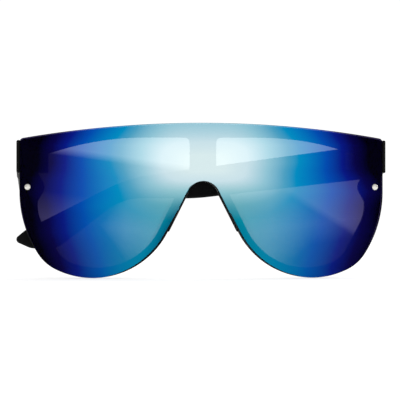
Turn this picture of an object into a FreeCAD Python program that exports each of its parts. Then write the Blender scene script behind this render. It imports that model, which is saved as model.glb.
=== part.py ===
import FreeCAD, Part
import math
import os
import re
import Sketcher
from FreeCAD import Placement, Rotation, Vector

# Shield sunglasses, left arm folded, right arm open. Millimetres, +Z up, front faces -Y, wearer's left is +X.
# The origin is the top of the nose arch, on the back of the front frame.

doc = FreeCAD.newDocument("shield_sunglasses")

# Driving sizes
SIZES = {
    # lens, seen from the front; heights count from the top of the nose arch, shares are of the half width
    "lens_half_width": 71.3,
    "lens_top_rise": 22.55,
    "lens_drop": 37.7,
    "lens_top_radius": 430,
    "lens_top_corner_radius": 1.8,
    "lens_side_drop": 4.2,
    "side_radius_share": 0.617,
    "cheek_radius_share": 0.238,
    "lobe_offset_share": 0.603,
    "lobe_radius_share": 0.454,
    "nose_arch_radius": 6.6,
    # bent sheet of the lens and the frame behind it
    "lens_plan_radius": 270,
    "lens_thickness": 2.0,
    "lens_gap": 0.1,
    "frame_thickness": 3.6,
    "frame_edge_radius": 0.8,
    "rim_inset": 0.35,
    "nose_lip": 0.65,
    # eye openings of the frame
    "bridge_half_width": 5.1,
    "eye_top_rise": 16.9,
    "side_rim_width": 7.1,
    "nose_rim_width": 3.16,
    "eye_brow_run": 24.6,
    "eye_outer_rise": 9.4,
    "eye_side_drop": 13.2,
    "eye_cheek_run": 9.7,
    "eye_cheek_lift": 6.6,
    "eye_nose_dip": 0.8,
    "eye_bridge_radius": 7,
    "eye_top_radius": 2,
    "eye_brow_radius": 115,
    "eye_outer_radius": 5,
    "eye_side_radius": 15,
    "eye_cheek_radius": 12,
    "eye_lobe_share": 0.786,
    "boss_half_height": 5.7,
    "boss_reach": 3.3,
    "boss_radius": 4,
    "boss_blend_radius": 2.4,
    # end pieces that carry the hinges
    "end_lip_width": 1.2,
    "end_length": 13.1,
    "end_top_rise": 16.0,
    "end_bottom_rise": 3.2,
    "end_taper_length": 8.0,
    "end_taper_radius": 9.0,
    "end_root_inset": 11.3,
    "end_lip_gap": 0.15,
    "end_lip_setback": 0.2,
    "end_inner_radius": 1.2,
    "end_inner_setback": 1.8,
    "end_embed": 0.9,
    "end_edge_radius": 0.7,
    # lens screws
    "screw_inset": 3.1,
    "screw_drop": 2.3,
    "screw_shank_radius": 0.6,
    "screw_head_radius": 1.25,
    "screw_head_height": 0.7,
    "screw_clearance": 0.04,
    "bush_radius": 0.95,
    "bush_clearance": 0.03,
    "washer_radius": 1.75,
    "washer_thickness": 0.4,
    "washer_gap": 0.02,
    "nut_radius": 1.5,
    "nut_height": 1.6,
    "nut_wall": 0.45,
    "nut_edge_radius": 0.6,
    # nose pads
    "pad_length": 17.5,
    "pad_overhang": 0.85,
    "pad_setback": 0.17,
    "pad_back_reach": 7.2,
    "pad_splay_run": 1.2,
    "pad_width": 2.9,
    "pad_back_radius": 0.9,
    "pad_shoulder_reach": 2.6,
    "pad_foot_length": 4.6,
    "pad_head_length": 3.8,
    "pad_round": 3.0,
    "pad_edge_radius": 0.5,
    # hinges
    "hinge_inset": 4.8,
    "hinge_rise": 8.2,
    "barrel_radius": 1.4,
    "barrel_height": 1.3,
    "barrel_gap": 0.12,
    "barrel_clearance": 0.06,
    "pin_radius": 0.66,
    "pin_head_radius": 1.2,
    "pin_head_height": 0.6,
    "pin_slot_width": 0.35,
    "pin_slot_depth": 0.3,
    "leaf_thickness": 0.8,
    "leaf_length_front": 5.8,
    "leaf_length_temple": 8.0,
    "leaf_seat_offset": 1.6,
    "leaf_clearance": 0.03,
    "anchor_radius": 0.55,
    "anchor_length": 1.6,
    "anchor_spacing": 3.8,
    "anchor_setback": 2.9,
    # arms, lengths count back from the hinge pin, heights from the nose arch
    "butt_gap": 0.15,
    "butt_top_rise": 14.4,
    "butt_bottom_rise": 1.0,
    "butt_edge_radius": 0.8,
    "tip_length": 140.7,
    "tip_drop": 23.4,
    "tip_radius": 1.6,
    "tip_shoulder_setback": 5.1,
    "tip_shoulder_drop": 19.2,
    "tip_shoulder_radius": 10,
    "bend_setback": 45.7,
    "bend_rise": 1.4,
    "bend_radius": 60,
    "tip_heel_setback": 7.1,
    "tip_heel_drop": 26.6,
    "tip_heel_radius": 6,
    "paddle_setback": 16.9,
    "paddle_drop": 27.0,
    "paddle_radius": 9,
    "neck_setback": 43.7,
    "neck_drop": 6.7,
    "neck_radius": 22,
    "waist_setback": 72.7,
    "waist_drop": 6.8,
    "waist_radius": 80,
    "temple_thickness": 4.2,
    "temple_mid_thickness": 3.7,
    "temple_tip_thickness": 3.2,
    "temple_curve_length": 75,
    "temple_curve_radius": 400,
    "temple_tip_curve": 3.9,
    "temple_edge_radius": 0.9,
    # angle of each arm off the straight line across the back: left folded, right open
    "rest_angle_left": 1.0,
    "rest_angle_right": 90,
}
sheet = doc.addObject("Spreadsheet::Sheet", "sizes")
for row, (name, number) in enumerate(SIZES.items(), start=1):
    sheet.set(f"A{row}", name)
    sheet.set(f"B{row}", str(number))
    sheet.setAlias(f"B{row}", name)
doc.recompute()


def linked(text):
    """The expression with each size name pointing into the sheet."""
    return re.sub(r"[a-z]+(?:_[a-z]+)+", lambda found: "sizes." + found.group(), text)


def value(text):
    """What the expression comes to now."""
    return float(sheet.evalExpression(linked(text)))


# Sizes that follow from others
BACK_RADIUS = "(lens_plan_radius - lens_thickness - lens_gap - frame_thickness)"
LENS_EDGE_DEPTH = f"({BACK_RADIUS} - sqrt(lens_plan_radius ^ 2 - lens_half_width ^ 2))"
SIDE_RADIUS = "side_radius_share * lens_half_width"
CHEEK_RADIUS = "cheek_radius_share * lens_half_width"
LOBE_OFFSET = "lobe_offset_share * lens_half_width"
LOBE_RADIUS = "lobe_radius_share * lens_half_width"
LOBE_ABOVE_ARCH = f"({LOBE_RADIUS} - lens_drop + nose_arch_radius)"
FLANK_LEAN = (f"(atan({LOBE_ABOVE_ARCH} / ({LOBE_OFFSET})) + acos(({LOBE_RADIUS} + nose_arch_radius)"
              f" / sqrt(({LOBE_OFFSET}) ^ 2 + {LOBE_ABOVE_ARCH} ^ 2)))")
FRONT_HALF_WIDTH = "(lens_half_width + end_lip_width)"
SCREW_OFFSET = "(lens_half_width - screw_inset)"
HINGE_OFFSET = "(lens_half_width - hinge_inset)"
HINGE_DEPTH = f"({LENS_EDGE_DEPTH} + end_length)"
HINGE_PITCH = "(barrel_height + barrel_gap)"
HINGE_HEIGHT = "(5 * barrel_height + 4 * barrel_gap)"
BORE_RADIUS = "(pin_radius + barrel_clearance)"
TALL = "(lens_top_rise + lens_drop) * 3"
DEEP = "lens_half_width"


# Drawing tools
def new_body(name):
    body = doc.addObject("PartDesign::Body", name)
    body.Label = name
    return body


def sketch_on(body, role, name):
    sketch = body.newObject("Sketcher::SketchObject", name)
    plane = next(item for item in body.Origin.OriginFeatures if item.Role == role)
    sketch.AttachmentSupport = [(plane, "")]
    sketch.MapMode = "FlatFace"
    doc.recompute()
    return sketch


def dimension(sketch, text, *constraint):
    """A dimension of the sketch, driven by the expression."""
    index = sketch.addConstraint(Sketcher.Constraint(*constraint, value(text)))
    sketch.setExpression(f"Constraints[{index}]", linked(text))


def place_point(sketch, geometry, position, across, up):
    """Drives both coordinates of a sketch point; a coordinate written 0 puts it on the axis."""
    if across == "0":
        sketch.addConstraint(Sketcher.Constraint("PointOnObject", geometry, position, -2))
    else:
        dimension(sketch, across, "DistanceX", -1, 1, geometry, position)
    if up == "0":
        sketch.addConstraint(Sketcher.Constraint("PointOnObject", geometry, position, -1))
    else:
        dimension(sketch, up, "DistanceY", -1, 1, geometry, position)


def arc(sketch, centre, begin, end):
    """A counter-clockwise arc about the centre from one point to another."""
    first = math.atan2(begin.y - centre.y, begin.x - centre.x)
    last = math.atan2(end.y - centre.y, end.x - centre.x)
    circle = Part.Circle(centre, Vector(0, 0, 1), centre.distanceToPoint(begin))
    return sketch.addGeometry(Part.ArcOfCircle(circle, first, last))


def rounded_outline(sketch, corners):
    """A closed outline through the corners (across, up, radius); radius 0 keeps a corner sharp."""
    points = [Vector(value(across), value(up), 0) for across, up, radius in corners]
    starts = []
    stops = []
    centres = []
    for index, (across, up, radius) in enumerate(corners):
        here = points[index]
        before = (points[index - 1] - here).normalize()
        after = (points[(index + 1) % len(points)] - here).normalize()
        half_angle = before.getAngle(after) / 2
        reach = value(radius) / math.tan(half_angle)
        starts.append(here + before * reach)
        stops.append(here + after * reach)
        middle = (before + after).normalize()
        centres.append(here + middle * (value(radius) / math.sin(half_angle)))
    lines = []
    for index in range(len(points)):
        finish = starts[(index + 1) % len(points)]
        lines.append(sketch.addGeometry(Part.LineSegment(stops[index], finish)))
    for index, (across, up, radius) in enumerate(corners):
        arriving = lines[index - 1]
        leaving = lines[index]
        if radius == "0":
            sketch.addConstraint(Sketcher.Constraint("Coincident", arriving, 2, leaving, 1))
            place_point(sketch, leaving, 1, across, up)
            continue
        corner = sketch.addGeometry(Part.Point(points[index]), True)
        place_point(sketch, corner, 1, across, up)
        sketch.addConstraint(Sketcher.Constraint("PointOnObject", corner, 1, arriving))
        sketch.addConstraint(Sketcher.Constraint("PointOnObject", corner, 1, leaving))
        turn = (points[index] - points[index - 1]).cross(stops[index] - points[index]).z
        if turn > 0:
            rounding = arc(sketch, centres[index], starts[index], stops[index])
            ends = (1, 2)
        else:
            rounding = arc(sketch, centres[index], stops[index], starts[index])
            ends = (2, 1)
        sketch.addConstraint(Sketcher.Constraint("Tangent", arriving, 2, rounding, ends[0]))
        sketch.addConstraint(Sketcher.Constraint("Tangent", rounding, ends[1], leaving, 1))
        dimension(sketch, radius, "Radius", rounding)


def rectangle(sketch, left, bottom, right, top):
    rounded_outline(sketch, [(left, bottom, "0"), (right, bottom, "0"), (right, top, "0"), (left, top, "0")])


def extrude(body, sketch, length, kind="PartDesign::Pad", both_ways=True, reverse=False):
    feature = body.newObject(kind, f"{sketch.Name}_{kind.split('::')[1].lower()}")
    feature.Profile = sketch
    feature.SideType = "Symmetric" if both_ways else "One side"
    feature.Reversed = reverse
    feature.setExpression("Length", linked(length))
    doc.recompute()
    return feature


def revolve(body, sketch):
    """Turns the sketch of the body's XZ plane about the upright axis."""
    feature = body.newObject("PartDesign::Revolution", f"{sketch.Name}_turned")
    feature.Profile = sketch
    feature.ReferenceAxis = (sketch, ["V_Axis"])
    feature.Angle = 360
    doc.recompute()
    return feature


def combine(kind, name, base, tools):
    """Cuts the tools from the base, adds them to it, or keeps what they share with it."""
    for count, tool in enumerate(tools, start=1):
        result = doc.addObject(f"Part::{kind}", name if count == len(tools) else f"{name}_step_{count}")
        result.Base = base
        result.Tool = tool
        result.Refine = True
        base = result
    result.Label = name
    doc.recompute()
    return result


def mirrored(source, name):
    """The same piece on the wearer's right."""
    piece = doc.addObject("Part::Mirroring", name)
    piece.Label = name
    piece.Source = source
    piece.Base = Vector(0, 0, 0)
    piece.Normal = Vector(1, 0, 0)
    doc.recompute()
    return piece


def rounded_edges(source, name, radius, wanted):
    """Rounds the edges of the source that the test picks."""
    piece = doc.addObject("Part::Fillet", name)
    piece.Base = source
    number = value(radius)
    piece.Edges = [(place, number, number) for place, edge in enumerate(source.Shape.Edges, start=1) if wanted(edge)]
    piece.Label = name
    doc.recompute()
    return piece


# Outline shared by the lens and the frame
def shield_half_outline(sketch, inset, lip):
    """The wearer's left half of the shield, inside the lens edge by the inset, out into the nose gap by the lip."""
    step = value(inset)
    half_width = value("lens_half_width") - step
    top_centre = Vector(0, value("lens_top_rise - lens_top_radius"), 0)
    top_radius = value("lens_top_radius") - step
    corner_radius = value("lens_top_corner_radius") - step
    side_centre = Vector(value(f"lens_half_width - {SIDE_RADIUS}"), -value("lens_side_drop"), 0)
    side_radius = value(SIDE_RADIUS) - step
    cheek_radius = value(CHEEK_RADIUS) - step
    lobe_offset = f"{LOBE_OFFSET} - {lip} / 2"
    lobe_centre = Vector(value(lobe_offset), value(f"{LOBE_RADIUS} - lens_drop"), 0)
    lobe_radius = value(f"{LOBE_RADIUS} + {lip} / 2") - step
    arch_centre = Vector(0, -value("nose_arch_radius"), 0)
    arch_radius = value(f"nose_arch_radius - {lip}") + step

    # rounded upper corner between the brow curve and the straight side
    corner_rise = math.sqrt((top_radius - corner_radius) ** 2 - (half_width - corner_radius) ** 2)
    corner_centre = Vector(half_width - corner_radius, top_centre.y + corner_rise, 0)
    brow_end = top_centre + (corner_centre - top_centre).normalize() * top_radius
    side_top = Vector(half_width, corner_centre.y, 0)
    side_end = Vector(half_width, side_centre.y, 0)

    # cheek curve that joins the side curve to the lobe
    span = lobe_centre - side_centre
    from_side = side_radius - cheek_radius
    from_lobe = lobe_radius - cheek_radius
    along = (from_side ** 2 - from_lobe ** 2 + span.Length ** 2) / (2 * span.Length)
    below = math.sqrt(from_side ** 2 - along ** 2)
    forward = Vector(span).normalize()
    cheek_centre = side_centre + forward * along + Vector(forward.y, -forward.x, 0) * below
    cheek_top = side_centre + (cheek_centre - side_centre).normalize() * side_radius
    cheek_end = lobe_centre + (cheek_centre - lobe_centre).normalize() * lobe_radius

    # straight nose flank that touches the lobe and the arch
    reach = lobe_centre - arch_centre
    lean = math.atan2(reach.y, reach.x) + math.acos((lobe_radius + arch_radius) / reach.Length)
    across_flank = Vector(math.cos(lean), math.sin(lean), 0)
    flank_foot = lobe_centre - across_flank * lobe_radius
    flank_head = arch_centre + across_flank * arch_radius

    arch_top = Vector(0, arch_centre.y + arch_radius, 0)
    brow_top = Vector(0, top_centre.y + top_radius, 0)
    brow = arc(sketch, top_centre, brow_end, brow_top)
    corner = arc(sketch, corner_centre, side_top, brow_end)
    side = sketch.addGeometry(Part.LineSegment(side_top, side_end))
    side_curve = arc(sketch, side_centre, cheek_top, side_end)
    cheek = arc(sketch, cheek_centre, cheek_end, cheek_top)
    lobe = arc(sketch, lobe_centre, flank_foot, cheek_end)
    flank = sketch.addGeometry(Part.LineSegment(flank_foot, flank_head))
    arch = arc(sketch, arch_centre, flank_head, arch_top)
    middle = sketch.addGeometry(Part.LineSegment(arch_top, brow_top))

    joints = [(brow, 1, corner, 2), (corner, 1, side, 1), (side, 2, side_curve, 2), (side_curve, 1, cheek, 2),
              (cheek, 1, lobe, 2), (lobe, 1, flank, 1), (flank, 2, arch, 1)]
    for joint in joints:
        sketch.addConstraint(Sketcher.Constraint("Tangent", *joint))
    sketch.addConstraint(Sketcher.Constraint("Coincident", arch, 2, middle, 1))
    sketch.addConstraint(Sketcher.Constraint("Coincident", middle, 2, brow, 2))
    sketch.addConstraint(Sketcher.Constraint("PointOnObject", middle, 1, -2))
    sketch.addConstraint(Sketcher.Constraint("PointOnObject", middle, 2, -2))
    sketch.addConstraint(Sketcher.Constraint("Vertical", side))
    place_point(sketch, brow, 3, "0", "lens_top_rise - lens_top_radius")
    place_point(sketch, lobe, 3, lobe_offset, f"{LOBE_RADIUS} - lens_drop")
    place_point(sketch, arch, 3, "0", "-nose_arch_radius")
    dimension(sketch, f"lens_half_width - {inset}", "DistanceX", -1, 1, side, 1)
    dimension(sketch, "-lens_side_drop", "DistanceY", -1, 1, side_curve, 3)
    dimension(sketch, f"lens_top_radius - {inset}", "Radius", brow)
    dimension(sketch, f"lens_top_corner_radius - {inset}", "Radius", corner)
    dimension(sketch, f"{SIDE_RADIUS} - {inset}", "Radius", side_curve)
    dimension(sketch, f"{CHEEK_RADIUS} - {inset}", "Radius", cheek)
    dimension(sketch, f"{LOBE_RADIUS} + {lip} / 2 - {inset}", "Radius", lobe)
    dimension(sketch, f"nose_arch_radius - {lip} + {inset}", "Radius", arch)
    return flank_head, flank_foot


def shield_prism(name, inset, lip):
    """The full shield outline as a deep prism."""
    body = new_body(name)
    sketch = sketch_on(body, "XZ_Plane", f"{name}_outline")
    flank = shield_half_outline(sketch, inset, lip)
    half = extrude(body, sketch, DEEP)
    other = body.newObject("PartDesign::Mirrored", f"{name}_both_halves")
    other.Originals = [half]
    other.MirrorPlane = (next(item for item in body.Origin.OriginFeatures if item.Role == "YZ_Plane"), [""])
    body.Tip = other
    doc.recompute()
    return body, flank


def bent_sheet(name, outer, inner):
    """A tall sheet bent about an upright axis, outer radius towards the front."""
    body = new_body(name)
    sketch = sketch_on(body, "XY_Plane", f"{name}_plan")
    centre = Vector(0, value(BACK_RADIUS), 0)
    reach = value(f"{FRONT_HALF_WIDTH} + lens_thickness")
    ends = {}
    curves = {}
    for side, radius in (("outer", value(outer)), ("inner", value(inner))):
        depth = centre.y - math.sqrt(radius ** 2 - reach ** 2)
        ends[side] = (Vector(-reach, depth, 0), Vector(reach, depth, 0))
        curves[side] = arc(sketch, centre, *ends[side])
    right = sketch.addGeometry(Part.LineSegment(ends["outer"][0], ends["inner"][0]))
    left = sketch.addGeometry(Part.LineSegment(ends["inner"][1], ends["outer"][1]))
    joints = [(curves["outer"], 1, right, 1), (right, 2, curves["inner"], 1),
              (curves["inner"], 2, left, 1), (left, 2, curves["outer"], 2)]
    for joint in joints:
        sketch.addConstraint(Sketcher.Constraint("Coincident", *joint))
    for line, sign in ((right, "-"), (left, "")):
        sketch.addConstraint(Sketcher.Constraint("Vertical", line))
        dimension(sketch, f"{sign}({FRONT_HALF_WIDTH} + lens_thickness)", "DistanceX", -1, 1, line, 1)
    for side, radius in (("outer", outer), ("inner", inner)):
        place_point(sketch, curves[side], 3, "0", BACK_RADIUS)
        dimension(sketch, radius, "Radius", curves[side])
    extrude(body, sketch, TALL)
    return body


# Lens screws stand square on the lens
def on_lens(depth):
    """Placement on the left screw axis, so far behind the lens face, local +Z out of the face."""
    radius = value("lens_plan_radius")
    lean = math.asin(value(SCREW_OFFSET) / radius)
    outward = Vector(math.sin(lean), -math.cos(lean), 0)
    face = Vector(0, value(BACK_RADIUS), -value("screw_drop")) + outward * radius
    turn = Rotation(Vector(0, 0, 1), math.degrees(lean)) * Rotation(Vector(1, 0, 0), 90)
    return Placement(face - outward * value(depth), turn)


def screw_hole(name, radius, depth, length):
    hole = doc.addObject("Part::Cylinder", name)
    hole.setExpression("Radius", linked(radius))
    hole.setExpression("Height", linked(length))
    hole.Placement = on_lens(f"{depth} + {length}")
    doc.recompute()
    return [hole, mirrored(hole, f"{name}_right")]


def turned_piece(name, corners, depth):
    """A round piece from its half section (radius, height, rounding), set on the left screw axis."""
    body = new_body(name)
    sketch = sketch_on(body, "XZ_Plane", f"{name}_section")
    rounded_outline(sketch, corners)
    revolve(body, sketch)
    body.Placement = on_lens(depth)
    doc.recompute()
    return body


NUT_SEAT = "(lens_thickness + lens_gap + frame_thickness + washer_gap + washer_thickness)"
SCREW_LENGTH = f"({NUT_SEAT} + nut_height - nut_wall)"
STACK_BORE = "(screw_shank_radius + screw_clearance)"

# domed head on the lens face, shank through lens and frame
screw = new_body("lens_screw_left")
screw_section = sketch_on(screw, "XZ_Plane", "lens_screw_section")
head_radius = value("screw_head_radius")
head_height = value("screw_head_height")
dome_radius = (head_radius ** 2 + head_height ** 2) / (2 * head_height)
shank_radius = value("screw_shank_radius")
shank_end = -value(SCREW_LENGTH)
dome = arc(screw_section, Vector(0, head_height - dome_radius, 0), Vector(head_radius, 0, 0),
           Vector(0, head_height, 0))
section_points = [Vector(0, head_height, 0), Vector(0, shank_end, 0), Vector(shank_radius, shank_end, 0),
                  Vector(shank_radius, 0, 0), Vector(head_radius, 0, 0)]
section_lines = []
for begin, end in zip(section_points, section_points[1:]):
    section_lines.append(screw_section.addGeometry(Part.LineSegment(begin, end)))
axis_line, end_line, shank_line, seat_line = section_lines
for joint in [(dome, 2, axis_line, 1), (axis_line, 2, end_line, 1), (end_line, 2, shank_line, 1),
              (shank_line, 2, seat_line, 1), (seat_line, 2, dome, 1)]:
    screw_section.addConstraint(Sketcher.Constraint("Coincident", *joint))
screw_section.addConstraint(Sketcher.Constraint("PointOnObject", dome, 3, -2))
screw_section.addConstraint(Sketcher.Constraint("Vertical", shank_line))
place_point(screw_section, axis_line, 1, "0", "screw_head_height")
place_point(screw_section, end_line, 1, "0", f"-{SCREW_LENGTH}")
place_point(screw_section, shank_line, 2, "screw_shank_radius", "0")
place_point(screw_section, seat_line, 2, "screw_head_radius", "0")
screw_section.addConstraint(Sketcher.Constraint("Horizontal", end_line))
revolve(screw, screw_section)
screw.Placement = on_lens("0")

bush = turned_piece("lens_bush_left", [
    (STACK_BORE, "0", "0"), ("bush_radius", "0", "0"),
    ("bush_radius", "lens_thickness", "0"), (STACK_BORE, "lens_thickness", "0")], "lens_thickness")
washer = turned_piece("nut_washer_left", [
    (STACK_BORE, "0", "0"), ("washer_radius", "0", "0"),
    ("washer_radius", "washer_thickness", "0"), (STACK_BORE, "washer_thickness", "0")], NUT_SEAT)
nut = turned_piece("cap_nut_left", [
    ("0", "0", "0"), ("nut_radius", "0", "nut_edge_radius"), ("nut_radius", "nut_height", "0"),
    (STACK_BORE, "nut_height", "0"), (STACK_BORE, "nut_wall", "0"), ("0", "nut_wall", "0")],
    f"{NUT_SEAT} + nut_height")

# Lens
lens_sheet = bent_sheet("lens_sheet", "lens_plan_radius", "lens_plan_radius - lens_thickness")
lens_prism, lens_flank = shield_prism("lens_prism", "0", "0")
lens_blank = combine("Common", "lens_blank", lens_sheet, [lens_prism])
lens_holes = screw_hole("lens_hole", "bush_radius + bush_clearance", "-lens_thickness", "3 * lens_thickness")
lens = combine("Cut", "lens", lens_blank, lens_holes)

# Front frame: bent sheet, outline just inside the lens but proud of it along the nose, two eye openings
frame_sheet = bent_sheet("frame_sheet", f"{BACK_RADIUS} + frame_thickness", BACK_RADIUS)
frame_prism = shield_prism("frame_prism", "rim_inset", "nose_lip")[0]
frame_blank = combine("Common", "frame_blank", frame_sheet, [frame_prism])

# the opening runs along the nose flank at the width of the nose rim
EYE_OUTER = "(lens_half_width - side_rim_width)"
EYE_BRIDGE_RISE = (f"((nose_arch_radius + nose_rim_width - bridge_half_width * cos({FLANK_LEAN}))"
                   f" / sin({FLANK_LEAN}) - nose_arch_radius)")
EYE_NOSE_DROP = "(lens_drop + eye_nose_dip)"
EYE_NOSE_OFFSET = f"(bridge_half_width + ({EYE_BRIDGE_RISE} + {EYE_NOSE_DROP}) * tan({FLANK_LEAN}))"
EYE_CHEEK = f"({EYE_OUTER} - eye_cheek_run)"
EYE_LOBE_RUN = f"({EYE_CHEEK} - {EYE_NOSE_OFFSET})"
EYE_LOBE_CORNER = f"(90 deg + {FLANK_LEAN} - atan((eye_nose_dip + eye_cheek_lift) / {EYE_LOBE_RUN}))"
EYE_LOBE_RADIUS = f"eye_lobe_share * {EYE_LOBE_RUN} * tan({EYE_LOBE_CORNER} / 2)"
eye = new_body("eye_opening_left")
eye_sketch = sketch_on(eye, "XZ_Plane", "eye_outline")
rounded_outline(eye_sketch, [
    ("bridge_half_width", "eye_top_rise", "eye_top_radius"),
    (f"{EYE_OUTER} - eye_brow_run", "eye_top_rise", "eye_brow_radius"),
    (EYE_OUTER, "eye_outer_rise", "eye_outer_radius"),
    (EYE_OUTER, "boss_half_height - screw_drop", "boss_blend_radius"),
    (f"{EYE_OUTER} - boss_reach", "-screw_drop", "boss_radius"),
    (EYE_OUTER, "-boss_half_height - screw_drop", "boss_blend_radius"),
    (EYE_OUTER, "-eye_side_drop", "eye_side_radius"),
    (EYE_CHEEK, "eye_cheek_lift - lens_drop", "eye_cheek_radius"),
    (EYE_NOSE_OFFSET, f"-{EYE_NOSE_DROP}", EYE_LOBE_RADIUS),
    ("bridge_half_width", EYE_BRIDGE_RISE, "eye_bridge_radius"),
])
extrude(eye, eye_sketch, DEEP)
rim = combine("Cut", "rim", frame_blank, [eye, mirrored(eye, "eye_opening_right")])


def on_back_face(edge):
    """Whether the edge runs on the back face of the bent frame."""
    centre = Vector(0, value(BACK_RADIUS), 0)
    for share in (0.0, 0.5, 1.0):
        point = edge.valueAt(edge.FirstParameter + share * (edge.LastParameter - edge.FirstParameter))
        if abs(Vector(point.x, point.y, 0).distanceToPoint(centre) - centre.y) > 0.001:
            return False
    return True


soft_rim = rounded_edges(rim, "soft_rim", "frame_edge_radius", on_back_face)

# end piece: wraps the lens side and runs back to the hinge
end_plan = new_body("end_plan")
end_sketch = sketch_on(end_plan, "XY_Plane", "end_plan_outline")
END_INNER = f"({HINGE_OFFSET} + leaf_seat_offset)"
END_BACK = f"({HINGE_DEPTH} - butt_gap)"
END_ROOT = "(lens_half_width - end_root_inset)"
ROOT_DEPTH = f"({BACK_RADIUS} - sqrt({BACK_RADIUS} ^ 2 - {END_ROOT} ^ 2))"
rounded_outline(end_sketch, [
    ("lens_half_width + end_lip_gap", f"{LENS_EDGE_DEPTH} + lens_thickness + end_embed", "0"),
    ("lens_half_width + end_lip_gap", f"{LENS_EDGE_DEPTH} + end_lip_setback", "0"),
    (FRONT_HALF_WIDTH, f"{LENS_EDGE_DEPTH} + end_lip_setback", "0"),
    (FRONT_HALF_WIDTH, END_BACK, "0"),
    (END_INNER, END_BACK, "0"),
    (END_INNER, f"{HINGE_DEPTH} - leaf_length_front - end_inner_setback", "end_inner_radius"),
    (END_ROOT, f"{ROOT_DEPTH} - end_embed", "0"),
    (END_ROOT, f"{ROOT_DEPTH} - 2 * end_embed", "0"),
])
extrude(end_plan, end_sketch, TALL)
end_side = new_body("end_side")
end_side_sketch = sketch_on(end_side, "YZ_Plane", "end_side_outline")
rounded_outline(end_side_sketch, [
    ("0", "end_top_rise", "0"),
    ("0", "end_bottom_rise", "0"),
    (f"{HINGE_DEPTH} - end_taper_length", "end_bottom_rise", "end_taper_radius"),
    (END_BACK, "butt_bottom_rise", "end_edge_radius"),
    (END_BACK, "butt_top_rise", "end_edge_radius"),
    (f"{HINGE_DEPTH} - end_taper_length", "end_top_rise", "end_taper_radius"),
])
extrude(end_side, end_side_sketch, TALL)
end_blank = combine("Common", "end_blank", end_plan, [end_side])


def on_outer_face(edge):
    """Whether the edge bounds the outer face of the end piece."""
    return edge.BoundBox.XMin > value(FRONT_HALF_WIDTH) - 0.001


end_piece = rounded_edges(end_blank, "end_piece_left", "end_edge_radius", on_outer_face)
end_right = mirrored(end_piece, "end_piece_right")
front_solid = combine("Fuse", "front_solid", soft_rim, [end_piece, end_right])


# Hinges: five barrels on one screw, three on the front leaf, two on the arm leaf.
# Each leaf is drawn about its own pin, the arm straight back along +Y.
def leaf(name, length, side, slots):
    """A hinge leaf; side is 1 behind the pin and -1 in front, slots are the barrels of the other leaf."""
    body = new_body(name)
    near = f"{side} * butt_gap"
    far = f"{side} * (butt_gap + {length})"
    low, high = (near, far) if side > 0 else (far, near)
    plate = sketch_on(body, "XY_Plane", f"{name}_plate")
    rectangle(plate, "leaf_seat_offset", low, "leaf_seat_offset + leaf_thickness", high)
    extrude(body, plate, HINGE_HEIGHT)
    barrel = sketch_on(body, "XY_Plane", f"{name}_barrel")
    ring = barrel.addGeometry(Part.Circle(Vector(0, 0, 0), Vector(0, 0, 1), value("barrel_radius")))
    barrel.addConstraint(Sketcher.Constraint("Coincident", ring, 3, -1, 1))
    dimension(barrel, "barrel_radius", "Radius", ring)
    extrude(body, barrel, HINGE_HEIGHT)
    web = sketch_on(body, "XY_Plane", f"{name}_web")
    low, high = (near, f"{side} * barrel_radius") if side > 0 else (f"{side} * barrel_radius", near)
    rectangle(web, "0", low, "leaf_seat_offset + leaf_thickness / 2", high)
    extrude(body, web, HINGE_HEIGHT)
    gaps = sketch_on(body, "YZ_Plane", f"{name}_gaps")
    for step in slots:
        middle = f"{step} * {HINGE_PITCH}"
        half = "(barrel_height / 2 + barrel_gap)"
        rectangle(gaps, "-2 * barrel_radius", f"{middle} - {half}", "2 * barrel_radius", f"{middle} + {half}")
    extrude(body, gaps, "2 * leaf_seat_offset", "PartDesign::Pocket")
    bore = sketch_on(body, "XY_Plane", f"{name}_bore")
    hole = bore.addGeometry(Part.Circle(Vector(0, 0, 0), Vector(0, 0, 1), value(BORE_RADIUS)))
    bore.addConstraint(Sketcher.Constraint("Coincident", hole, 3, -1, 1))
    dimension(bore, BORE_RADIUS, "Radius", hole)
    extrude(body, bore, f"2 * {HINGE_HEIGHT}", "PartDesign::Pocket")
    anchors = sketch_on(body, "YZ_Plane", f"{name}_anchors")
    for spot in (-1, 1):
        pin = anchors.addGeometry(Part.Circle(Vector(value(f"{side} * anchor_setback"),
                                                     value(f"{spot} * anchor_spacing / 2"), 0),
                                              Vector(0, 0, 1), value("anchor_radius")))
        place_point(anchors, pin, 3, f"{side} * anchor_setback", f"{spot} * anchor_spacing / 2")
        dimension(anchors, "anchor_radius", "Radius", pin)
    anchors.AttachmentOffset = Placement(Vector(0, 0, value("leaf_seat_offset + leaf_thickness")), Rotation())
    extrude(body, anchors, "anchor_length", both_ways=False)
    return body


def leaf_seat(name, length, side):
    """The room cut into the plastic for a leaf and its anchors."""
    body = new_body(name)
    low = f"{side} * (butt_gap + {length} + leaf_clearance)"
    high = "0"
    if side > 0:
        low, high = high, low
    plate = sketch_on(body, "XY_Plane", f"{name}_plate")
    rectangle(plate, "leaf_seat_offset - leaf_thickness", low,
              "leaf_seat_offset + leaf_thickness + leaf_clearance", high)
    extrude(body, plate, f"{HINGE_HEIGHT} + 2 * leaf_clearance")
    anchors = sketch_on(body, "YZ_Plane", f"{name}_anchors")
    for spot in (-1, 1):
        pin = anchors.addGeometry(Part.Circle(Vector(value(f"{side} * anchor_setback"),
                                                     value(f"{spot} * anchor_spacing / 2"), 0),
                                              Vector(0, 0, 1), value("anchor_radius + leaf_clearance")))
        place_point(anchors, pin, 3, f"{side} * anchor_setback", f"{spot} * anchor_spacing / 2")
        dimension(anchors, "anchor_radius + leaf_clearance", "Radius", pin)
    extrude(body, anchors, "leaf_seat_offset + leaf_thickness + anchor_length + leaf_clearance", both_ways=False)
    return body


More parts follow.
